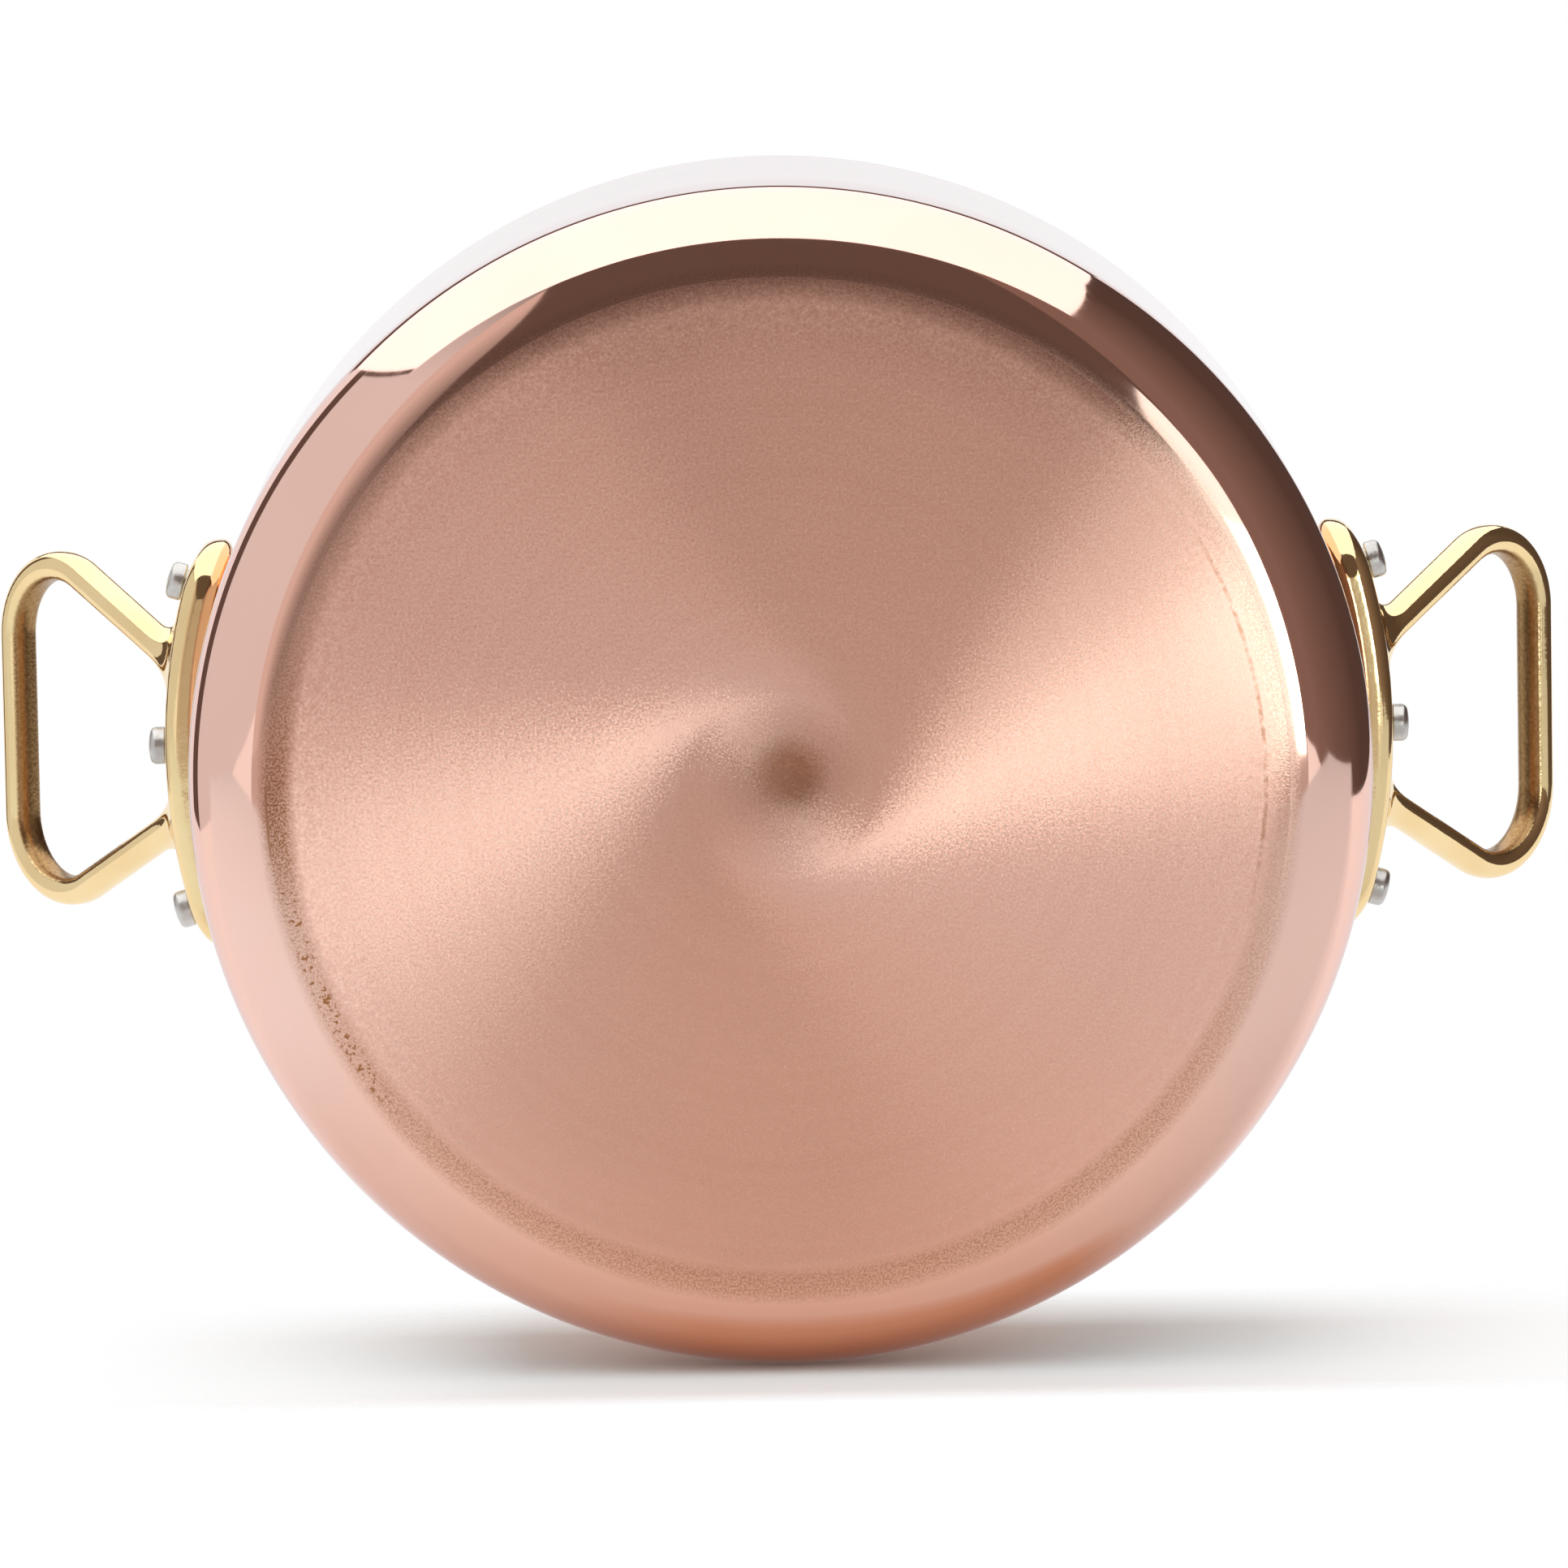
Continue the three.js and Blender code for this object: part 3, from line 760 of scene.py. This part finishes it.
class Shader:
    """The node tree of a material or a world, with short ways to add nodes to it."""

    def __init__(self, owner, output="ShaderNodeOutputMaterial"):
        self.owner = owner
        owner.use_nodes = True
        self.tree = owner.node_tree
        self.tree.nodes.clear()
        self.output = self.add(output)

    def add(self, kind, inputs=None, **settings):
        """A new node, with settings by name and inputs that are values or other nodes' sockets."""
        node = self.tree.nodes.new(kind)
        for key, value in settings.items():
            setattr(node, key, value)
        for key, value in (inputs or {}).items():
            if isinstance(value, bpy.types.NodeSocket):
                self.tree.links.new(value, node.inputs[key])
            else:
                node.inputs[key].default_value = value
        return node

    def finish(self, surface):
        """Joins the last node to the output and gives back the material or world."""
        self.tree.links.new(surface.outputs[0], self.output.inputs["Surface"])
        return self.owner

    def math(self, operation, first, *others):
        """The result of an arithmetic step, taken from value to value where there are more than two."""
        if not others:
            return self.add("ShaderNodeMath", {0: first}, operation=operation).outputs[0]
        for other in others:
            first = self.add("ShaderNodeMath", {0: first, 1: other}, operation=operation).outputs[0]
        return first

    def spread(self, value, span, start, end):
        """A value mapped from one span to another, held at the ends."""
        low, high = span
        inputs = {"Value": value, "From Min": low, "From Max": high, "To Min": start, "To Max": end}
        return self.add("ShaderNodeMapRange", inputs).outputs["Result"]

    def rise(self, value, span, least=0.0, most=1.0):
        """A share that grows over a span of values."""
        return self.spread(value, span, least, most)

    def fall(self, value, span, least=0.0, most=1.0):
        """A share that shrinks over a span of values."""
        return self.spread(value, span, most, least)

    def fading(self, distance, mark):
        """A share that is full up to one distance and gone at a second one."""
        full, gone, strength = mark
        return self.fall(distance, (full, gone), most=strength)

    def noise(self, vector, grain):
        """Noise between about 0.25 and 0.75, of a given scale and detail."""
        scale, detail = grain
        inputs = {"Vector": vector, "Scale": scale, "Detail": detail}
        return self.add("ShaderNodeTexNoise", inputs).outputs["Fac"]

    def varied(self, noise, least=0.0, most=1.0):
        """A value that varies with a noise."""
        return self.rise(noise, NOISE_SPAN, least, most)

    def mix(self, share, first, second):
        """A colour between two others."""
        inputs = {MIX_SHARE: share, MIX_FIRST: first, MIX_SECOND: second}
        return self.add("ShaderNodeMix", inputs, data_type="RGBA").outputs[MIX_RESULT]

    def vector(self, first, second, third=0.0):
        """A vector of three values."""
        return self.add("ShaderNodeCombineXYZ", {"X": first, "Y": second, "Z": third}).outputs[0]

    def point(self):
        """The surface point in metres."""
        return self.add("ShaderNodeTexCoord").outputs["Object"]

    def parts(self, point):
        """The three parts of the surface point in millimetres."""
        scaled = self.add("ShaderNodeVectorMath", {0: point, "Scale": 1 / MM}, operation="SCALE").outputs[0]
        return self.add("ShaderNodeSeparateXYZ", {0: scaled}).outputs

    def radius(self, parts):
        """Distance from the pan's axis in millimetres."""
        flat = self.vector(parts["X"], parts["Y"])
        return self.add("ShaderNodeVectorMath", {0: flat}, operation="LENGTH").outputs["Value"]

    def distance(self, point, place):
        """Distance in millimetres of the surface point from a place given in millimetres."""
        target = [value * MM for value in place]
        away = self.add("ShaderNodeVectorMath", {0: point, 1: target}, operation="DISTANCE")
        return self.math("DIVIDE", away.outputs["Value"], MM)

    def ring(self, radius, size):
        """1 on a circle about the axis, falling to 0 at a given distance from it."""
        middle, width = size
        away = self.math("ABSOLUTE", self.math("SUBTRACT", radius, middle))
        return self.fall(away, (RING_CORE * width, width))

    def bump(self, height, depth):
        """A normal from a height, whose full step is a depth in millimetres."""
        inputs = {"Height": height, "Distance": depth * MM, "Strength": 1.0}
        return self.add("ShaderNodeBump", inputs).outputs["Normal"]

    def metal(self, **inputs):
        """The metal surface itself, joined to the output."""
        named = {key.replace("_", " "): value for key, value in inputs.items()}
        return self.finish(self.add("ShaderNodeBsdfPrincipled", {"Metallic": 1.0, **named}))


def matte_share(shader, radius, grain):
    """1 on the blasted base, 0 on the polished corner, with a grainy fringe between them."""
    ramp = shader.fall(radius, (MATTE_UNTIL, POLISHED_FROM))
    scatter = shader.spread(grain, GRAIN_SPAN, -FRINGE_SCATTER, FRINGE_SCATTER)
    return shader.rise(shader.math("ADD", ramp, scatter), FRINGE_SPAN)


def scuff_share(shader, point, parts, radius):
    """Share of a thin broken line at the right, where the base has stood."""
    return shader.math(
        "MULTIPLY",
        shader.ring(radius, SCUFF_RING),
        shader.rise(parts["X"], SCUFF_RIGHT),
        shader.fall(parts["Y"], SCUFF_LOWER_END),
        shader.rise(shader.noise(point, SCUFF_NOISE), SCUFF_BREAKS, most=SCUFF_MOST),
    )


def speck_share(shader, point, parts, radius):
    """Share of dark specks on the edge of the blasting at the lower left."""
    return shader.math(
        "MULTIPLY",
        shader.ring(radius, SPECK_RING),
        shader.rise(parts["X"], SPECK_LEFT),
        shader.rise(parts["Y"], SPECK_UPPER_END),
        shader.rise(shader.noise(point, SPECK_NOISE), SPECK_BREAKS),
    )


def stipple_and_shade_share(shader, point, parts, radius):
    """Share of dark stipple on the edge of the blasting, with painted shade that makes it strong at the left
    and fainter below.
    """
    left = shader.math(
        "MULTIPLY",
        shader.fall(parts["X"], STIPPLE_LEFT),
        shader.rise(parts["Y"], STIPPLE_UPPER_END, least=STIPPLE_UPPER_LEAST),
        shader.fall(parts["Y"], STIPPLE_LOWER_END, least=STIPPLE_LOWER_LEAST),
    )
    below = shader.rise(parts["Y"], STIPPLE_BELOW, STIPPLE_BELOW_LEAST, STIPPLE_BELOW_MOST)
    return shader.math(
        "MULTIPLY",
        shader.ring(radius, STIPPLE_RING),
        shader.math("MAXIMUM", left, below),
        shader.rise(shader.noise(point, STIPPLE_NOISE), STIPPLE_BREAKS, least=STIPPLE_GRAIN_LEAST),
    )


def ledge_shade_share(shader, parts, radius):
    """Share of a short painted shade line at the far left, just outside the stipple, where the edge steps.
    """
    return shader.math(
        "MULTIPLY",
        shader.ring(radius, LEDGE_SHADE_RING),
        shader.rise(parts["X"], LEDGE_SHADE_LEFT),
        shader.rise(parts["Y"], LEDGE_SHADE_UPPER_END, most=LEDGE_SHADE_MOST),
        shader.fall(parts["Y"], LEDGE_SHADE_LOWER_END),
    )


def wear_and_shade_share(shader, point, parts, radius):
    """Share of dark marks on the underside: worn scuffs and specks, stipple that is partly painted shade,
    and a painted shade line.
    """
    return shader.math(
        "MAXIMUM",
        scuff_share(shader, point, parts, radius),
        speck_share(shader, point, parts, radius),
        stipple_and_shade_share(shader, point, parts, radius),
        ledge_shade_share(shader, parts, radius),
    )


def painted_dimple_shade(shader, point, sparkle):
    """Share of painted shade in the dimple, with its halo and an edge broken by the sparkle."""
    scatter = shader.math("MULTIPLY", shader.math("SUBTRACT", sparkle, NOISE_MIDDLE), CENTRE_SCATTER)
    away = shader.math("ADD", shader.distance(point, DIMPLE_PLACE), scatter)
    return shader.math("ADD", shader.fading(away, DIMPLE_SHADE), shader.fading(away, DIMPLE_SHADE_HALO))


def across_brushing(shader, point, radius):
    """Direction across the brushing lines, which swirl into the centre and stray more near it."""
    square = shader.math("ADD", shader.math("MULTIPLY", radius, radius), BRUSH_CORE ** 2)
    ratio = shader.math("DIVIDE", BRUSH_CIRCLE, shader.math("SQRT", square))
    sine = shader.math("MINIMUM", shader.math("POWER", ratio, BRUSH_POWER), BRUSH_STEEPEST)
    scatter = shader.math("DIVIDE", BRUSH_STRAY, shader.math("ADD", radius, STRAY_CORE))
    grain = shader.math("SUBTRACT", shader.noise(point, STRAY_NOISE), NOISE_MIDDLE)
    stray = shader.math("MULTIPLY", grain, scatter)
    lean = shader.math("SUBTRACT", stray, shader.math("ARCSINE", sine))
    inputs = {"Vector": point, "Angle": lean}
    return shader.add("ShaderNodeVectorRotate", inputs, rotation_type="Z_AXIS").outputs[0]


def copper_material():
    """Mirror-polished copper, with fine polishing lines and a blasted fringe next to the matte disc."""
    shader = Shader(bpy.data.materials.new("polished_copper"))
    point = shader.point()
    parts = shader.parts(point)
    radius = shader.radius(parts)
    stretched = shader.math("MULTIPLY", parts["Z"], COPPER_LINE_STRETCH)
    lines = shader.noise(shader.vector(parts["X"], parts["Y"], stretched), COPPER_LINES)
    cloud = shader.noise(point, COPPER_CLOUD)
    grain = shader.noise(point, GRAIN)
    underside = shader.fall(parts["Z"], UNDERSIDE)
    matte = shader.math("MULTIPLY", matte_share(shader, radius, grain), underside)
    # Worn marks and painted shade at the edge of the blasting
    wear_and_shade = shader.math("MULTIPLY", wear_and_shade_share(shader, point, parts, radius), underside)
    tone = shader.mix(shader.varied(cloud), POLISHED_COPPER, POLISHED_COPPER_DARK)
    blasted = shader.mix(matte, tone, MATTE_COPPER)
    roughening = shader.math("MULTIPLY", matte, DISC_ROUGHNESS)
    return shader.metal(
        Base_Color=shader.mix(wear_and_shade, blasted, WEAR_AND_SHADE_COLOUR),
        Roughness=shader.math("ADD", shader.varied(lines, *COPPER_ROUGHNESS), roughening),
        Normal=shader.bump(lines, COPPER_BUMP),
        Specular_Tint=GRAZING_TINT,
    )


def disc_material():
    """Blasted and brushed copper: sparkling grain, faint rings, painted shade in the dimple and a polished
    fringe.
    """
    shader = Shader(bpy.data.materials.new("matte_copper"))
    point = shader.point()
    parts = shader.parts(point)
    radius = shader.radius(parts)
    grain = shader.noise(point, GRAIN)
    sparkle = shader.noise(point, SPARKLE)
    cloud = shader.noise(point, DISC_CLOUD)
    outward = shader.vector(radius, 0.0)
    wide_rings = shader.noise(outward, WIDE_RINGS)
    fine_rings = shader.noise(outward, FINE_RINGS)
    matte = matte_share(shader, radius, grain)
    tone = shader.mix(shader.varied(sparkle, *SPARKLE_SHARES), MATTE_COPPER_DARK, MATTE_COPPER)
    ringed = shader.mix(shader.varied(wide_rings, most=WIDE_RING_MOST), tone, MATTE_COPPER_DARK)
    fringed = shader.mix(matte, POLISHED_COPPER, ringed)
    # Painted shade in and round the dimple
    dimple_shaded = shader.mix(painted_dimple_shade(shader, point, sparkle), fringed, DIMPLE_SHADE_COLOUR)
    roughness = shader.math(
        "ADD",
        shader.varied(cloud, DISC_ROUGHNESS - CLOUD_ROUGHNESS, DISC_ROUGHNESS + CLOUD_ROUGHNESS),
        shader.varied(sparkle, -SPARKLE_ROUGHNESS, SPARKLE_ROUGHNESS),
        shader.fading(radius, CENTRE_BLUR),
    )
    height = shader.math(
        "ADD",
        shader.math("MULTIPLY", grain, GRAIN_HEIGHT),
        shader.math("MULTIPLY", sparkle, SPARKLE_HEIGHT),
        shader.math("MULTIPLY", fine_rings, RING_HEIGHT),
    )
    return shader.metal(
        # Worn marks and painted shade over the disc's own colour
        Base_Color=shader.mix(wear_and_shade_share(shader, point, parts, radius), dimple_shaded, WEAR_AND_SHADE_COLOUR),
        Roughness=shader.math("MULTIPLY", roughness, shader.rise(matte, FULL_SPAN, least=FRINGE_GLOSS)),
        Normal=shader.bump(height, DISC_BUMP),
        Anisotropic=DISC_ANISOTROPY,
        Tangent=across_brushing(shader, point, radius),
    )


def lining_material():
    """Stainless steel brushed round the wall."""
    shader = Shader(bpy.data.materials.new("brushed_steel"))
    point = shader.point()
    parts = shader.parts(point)
    lines = shader.noise(shader.vector(shader.radius(parts), parts["Z"]), LINING_LINES)
    cloud = shader.noise(point, LINING_CLOUD)
    return shader.metal(
        Base_Color=shader.mix(shader.varied(lines), LINING_DARK, LINING_PALE),
        Roughness=shader.varied(cloud, *LINING_ROUGHNESS),
        Normal=shader.bump(lines, LINING_BUMP),
        Anisotropic=LINING_ANISOTROPY,
        Anisotropic_Rotation=LINING_QUARTER_TURN,
        Tangent=shader.add("ShaderNodeTangent", direction_type="RADIAL", axis="Z").outputs[0],
    )


def brass_material():
    """Polished cast brass, brown and rougher on the face inside the loop."""
    shader = Shader(bpy.data.materials.new("cast_brass"))
    point = shader.point()
    cloud = shader.noise(point, BRASS_CLOUD)
    pits = shader.noise(point, BRASS_PITS)
    inner = shader.add("ShaderNodeAttribute", attribute_name=INNER_FACE).outputs["Fac"]
    pitted = shader.math("ADD", inner, shader.math("MULTIPLY", pits, PIT_SHARE))
    rough_face = shader.rise(pitted, ROUGH_FACE_SPAN)
    polished = shader.mix(shader.varied(cloud), BRASS_PALE, BRASS_DEEP)
    brown = shader.mix(shader.varied(pits), BROWN_DARK, BROWN_PALE)
    roughening = shader.math("MULTIPLY", rough_face, ROUGH_FACE_ROUGHNESS)
    pit_height = shader.math("MULTIPLY", pits, shader.rise(rough_face, FULL_SPAN, least=POLISHED_PIT_HEIGHT))
    return shader.metal(
        Base_Color=shader.mix(rough_face, polished, brown),
        Roughness=shader.math("ADD", shader.varied(cloud, *BRASS_ROUGHNESS), roughening),
        Normal=shader.bump(shader.math("ADD", pit_height, cloud), BRASS_BUMP),
    )


def rivet_material():
    """Grey satin steel with a slightly hammered skin."""
    shader = Shader(bpy.data.materials.new("rivet_steel"))
    point = shader.point()
    skin = shader.noise(point, RIVET_SKIN)
    cloud = shader.noise(point, RIVET_CLOUD)
    return shader.metal(
        Base_Color=shader.mix(shader.varied(cloud), RIVET_DARK, RIVET_PALE),
        Roughness=shader.varied(skin, *RIVET_ROUGHNESS),
        Normal=shader.bump(skin, RIVET_BUMP),
    )


def add_stage(name, corners, material):
    """A flat piece of the studio, which isn't part of the pan."""
    mesh = bpy.data.meshes.new(name)
    mesh.from_pydata([tuple(corner) for corner in corners], [], [tuple(range(len(corners)))])
    mesh.materials.append(material)
    board = bpy.data.objects.new(name, mesh)
    bpy.context.scene.collection.objects.link(board)
    return board


def add_card(name, corners, level, colour, lights, fade):
    """A card or lamp face, unseen by the camera. A card that doesn't light only shows in reflections."""
    shader = Shader(bpy.data.materials.new(name))
    strength = level
    if fade:
        axis, start, end, end_level = fade
        along = shader.parts(shader.point())[axis]
        strength = shader.spread(along, (start / MM, end / MM), level, end_level)
    material = shader.finish(shader.add("ShaderNodeEmission", {"Color": colour, "Strength": strength}))
    board = add_stage(name, [place(*corner) for corner in corners], material)
    board.visible_camera = False
    board.visible_shadow = lights
    board.visible_diffuse = lights


def seen_share(shader, parts, fades):
    """1 on the stretch of a floor that the camera sees, falling to 0 over each of its fades."""
    measures = {"X": parts["X"], "Z": parts["Z"], "radius": shader.radius(parts)}
    seen = 1.0
    for along, span in fades:
        seen = shader.math("MULTIPLY", seen, shader.rise(measures[along], span))
    return seen


def painted(shader, colour, clear):
    """Matte paint that is clear from behind and by a given share."""
    back = shader.add("ShaderNodeNewGeometry").outputs["Backfacing"]
    paint = shader.add("ShaderNodeBsdfDiffuse", {"Color": colour}).outputs[0]
    air = shader.add("ShaderNodeBsdfTransparent").outputs[0]
    inputs = {0: shader.math("MAXIMUM", back, clear), 1: paint, 2: air}
    return shader.finish(shader.add("ShaderNodeMixShader", inputs))


def upright_floor_material():
    """White floor that fades into the white background."""
    shader = Shader(bpy.data.materials.new("floor"))
    seen = seen_share(shader, shader.parts(shader.point()), UPRIGHT_FLOOR_FADES)
    return painted(shader, FLOOR_COLOUR, shader.math("SUBTRACT", 1.0, seen))


def lit_floor_colour(shader, parts):
    """The floor's white, painted cooler next to the pan to cancel the warm light that the copper throws into
    its shade.
    """
    sideways = shader.math("ABSOLUTE", parts["X"])
    near = shader.fall(sideways, FLOOR_NEAR)
    share = shader.math("MULTIPLY", near, shader.rise(parts["Z"], FLOOR_NEAR_HEIGHT))
    return shader.mix(share, FLOOR_COLOUR, FLOOR_COLOUR_NEAR)


def reflected_floor_colour(shader, parts):
    """Mirrored floor tones, all painted: paler left, darker right, and warm shade with copper bounce under
    the pan.
    """
    left = shader.mix(shader.rise(parts["X"], FLOOR_LEFT_PART), FLOOR_REFLECTED_LEFT, FLOOR_REFLECTED_NEAR)
    across = shader.mix(shader.rise(parts["X"], FLOOR_RIGHT_PART), left, FLOOR_REFLECTED_RIGHT)
    under = shader.math(
        "MULTIPLY",
        shader.rise(parts["X"], FLOOR_UNDER_LEFT),
        shader.fall(parts["X"], FLOOR_UNDER_RIGHT),
        shader.rise(parts["Z"], FLOOR_UNDER_HEIGHT),
    )
    return shader.mix(under, across, FLOOR_REFLECTED_UNDER_SHADE)


def side_floor_material():
    """White floor that fades into the white background. In reflections it takes painted tones and ends part
    of the way up the wall.

    The camera sees it below the upright floor, or through the clear back of that floor.
    """
    shader = Shader(bpy.data.materials.new("side_floor"))
    parts = shader.parts(shader.point())
    paths = shader.add("ShaderNodeLightPath").outputs
    mirrored = paths["Is Glossy Ray"]
    through = shader.math("GREATER_THAN", paths["Transparent Depth"], 0.0)
    below = shader.math("LESS_THAN", parts["Z"], UPRIGHT_FLOOR)
    open_side = shader.math("MAXIMUM", through, below)
    seen = shader.math("MULTIPLY", seen_share(shader, parts, SIDE_FLOOR_FADES), open_side)
    hidden = shader.math("MULTIPLY", paths["Is Camera Ray"], shader.math("SUBTRACT", 1.0, seen))
    unreflected = shader.math("MULTIPLY", mirrored, shader.rise(parts["Z"], SIDE_FLOOR_REFLECTED_END))
    colour = shader.mix(mirrored, lit_floor_colour(shader, parts), reflected_floor_colour(shader, parts))
    return painted(shader, colour, shader.math("MAXIMUM", hidden, unreflected))


def add_world():
    """A white surround: full white to the camera and in reflections, a little less as light."""
    world = bpy.data.worlds.new("white_studio")
    shader = Shader(world, "ShaderNodeOutputWorld")
    paths = shader.add("ShaderNodeLightPath").outputs
    direct = [paths[ray] for ray in ("Is Camera Ray", "Is Glossy Ray", "Is Transmission Ray")]
    level = shader.rise(shader.math("MAXIMUM", *direct), FULL_SPAN, WORLD_FILL, WORLD_LEVEL)
    bpy.context.scene.world = shader.finish(
        shader.add("ShaderNodeBackground", {"Color": WHITE, "Strength": level})
    )


def add_camera():
    """The photograph's camera: a long lens under the base, a little above the floor the pan lies on."""
    data = bpy.data.cameras.new("camera")
    data.sensor_width = SENSOR_WIDTH
    data.lens = SENSOR_WIDTH * FOCAL_PIXELS / FRAME_PIXELS
    middle = FRAME_PIXELS / 2
    data.shift_x = (middle - AIM_PIXEL[0]) / FRAME_PIXELS
    data.shift_y = (AIM_PIXEL[1] - middle) / FRAME_PIXELS
    back = place(
        math.cos(CAMERA_LIFT) * math.sin(CAMERA_TURN),
        math.sin(CAMERA_LIFT),
        math.cos(CAMERA_LIFT) * math.cos(CAMERA_TURN),
    )
    right = place(0.0, 1.0, 0.0).cross(back).normalized()
    up = back.cross(right)
    rolled_right = right * math.cos(CAMERA_ROLL) + up * math.sin(CAMERA_ROLL)
    rolled_up = up * math.cos(CAMERA_ROLL) - right * math.sin(CAMERA_ROLL)
    turn = Matrix((rolled_right, rolled_up, back)).transposed().to_4x4()
    camera = bpy.data.objects.new("camera", data)
    aim = place(0.0, 0.0, -AIM_HEIGHT)
    camera.matrix_world = Matrix.Translation(aim + back * CAMERA_DISTANCE) @ turn
    bpy.context.scene.collection.objects.link(camera)
    bpy.context.scene.camera = camera


def hide(board, *rays):
    """Keeps a piece of the studio out of the given kinds of light path."""
    for ray in rays:
        setattr(board, "visible_" + ray, False)


def add_studio(body_radius):
    """Floors, cards and lamps."""
    add_world()
    rest = -(body_radius + REST_GAP) * MM
    rest_corners = level_corners(
        rest,
        (WALL_LEFT, FLOOR_FRONT),
        (WALL_RIGHT, FLOOR_FRONT),
        (WALL_RIGHT, FLOOR_BACK),
        (WALL_LEFT, FLOOR_BACK),
    )
    side_floor = add_stage("side_floor", [place(*corner) for corner in rest_corners], side_floor_material())
    hide(side_floor, "shadow", "diffuse")
    half = UPRIGHT_FLOOR_HALF * MM
    height = UPRIGHT_FLOOR * MM
    quarters = ((-1, -1), (1, -1), (1, 1), (-1, 1))
    floor_corners = [(half * right, half * back, height) for right, back in quarters]
    floor = add_stage("floor", floor_corners, upright_floor_material())
    hide(floor, "shadow", "diffuse", "glossy", "transmission")
    for card in CARDS:
        add_card(*card)


def shifted_dimple(points, thickness):
    """The disc's points with the dimple slid off the middle and the flat face round it following."""
    radius = np.hypot(points[:, 0], points[:, 1])
    share = np.clip((ROLL_START - radius) / (ROLL_START - DIMPLE_RADIUS), 0.0, 1.0)
    underside = points[:, 2] < thickness
    return points + np.outer(share * underside, DIMPLE_PLACE)


def add_body():
    """The copper shell, its steel lining and the matte disc."""
    shell_low, shell_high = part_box("copper_shell")
    radius = shell_high[0] / MM
    rim = shell_high[2] / MM
    bottom = shell_low[2] / MM
    _, disc_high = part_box("base_layer")
    disc_radius = disc_high[0] / MM
    shell = revolve(shell_profile(radius, bottom, rim, disc_radius), BODY_SEGMENTS)
    add_piece("body_copper", *shell, "copper_shell", "copper", copper_material())
    lining = revolve(lining_profile(radius, bottom, rim), BODY_SEGMENTS)
    add_piece("body_lining", *lining, "steel_lining", "lining", lining_material())
    disc_points, disc_faces = revolve(disc_profile(disc_radius, radius, bottom), BODY_SEGMENTS)
    disc_points = shifted_dimple(disc_points, bottom)
    add_piece("base_disc", disc_points, disc_faces, "base_layer", "base", disc_material())
    return radius, rim


def turned(points, angle):
    """Points turned about the pan's axis."""
    spin = np.array([
        [math.cos(angle), -math.sin(angle), 0.0],
        [math.sin(angle), math.cos(angle), 0.0],
        [0.0, 0.0, 1.0],
    ])
    return points @ spin.T


def add_handles(radius, rim):
    """Both castings and their rivets. The left ones are the right ones turned half round the pan."""
    casting = Handle(radius, rim)
    low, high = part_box("handle_right")
    margin = 2 * HANDLE_CELL
    start = [value / MM - margin for value in low]
    end = [value / MM + margin for value in high]
    points, quads = surface_net(casting.field, start, end, HANDLE_CELL)
    points = settle(casting.field, points, HANDLE_CELL)
    inner = casting.inner_face(points)
    rivet_low, rivet_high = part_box("rivet_right_middle")
    profile = rivet_profile(rivet_low[0] / MM, rivet_high[0] / MM)
    rivet_points, rivet_faces = revolve(profile, RIVET_SEGMENTS)
    rivet_points = rivet_points[:, [2, 0, 1]] + np.array([0.0, 0.0, casting.rivet_height])
    brass = brass_material()
    steel = rivet_material()
    for side, half_turn in (("right", 0.0), ("left", math.pi)):
        grip = add_piece("grip_" + side, turned(points, half_turn), quads, "handle_" + side, "brass", brass)
        attribute = grip.data.attributes.new(INNER_FACE, "FLOAT", "POINT")
        attribute.data.foreach_set("value", inner.astype(np.float32))
        for place_name in ("front", "middle", "back"):
            node = "rivet_" + side + "_" + place_name
            name = "stud_" + side + "_" + place_name
            node_low, node_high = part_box(node)
            angle = math.atan2(node_low[1] + node_high[1], node_low[0] + node_high[0])
            add_piece(name, turned(rivet_points, angle), rivet_faces, node, "rivet_steel", steel)


bpy.context.scene.view_settings.view_transform = "Standard"
add_camera()
body_radius, rim_height = add_body()
add_handles(body_radius, rim_height)
add_studio(body_radius)
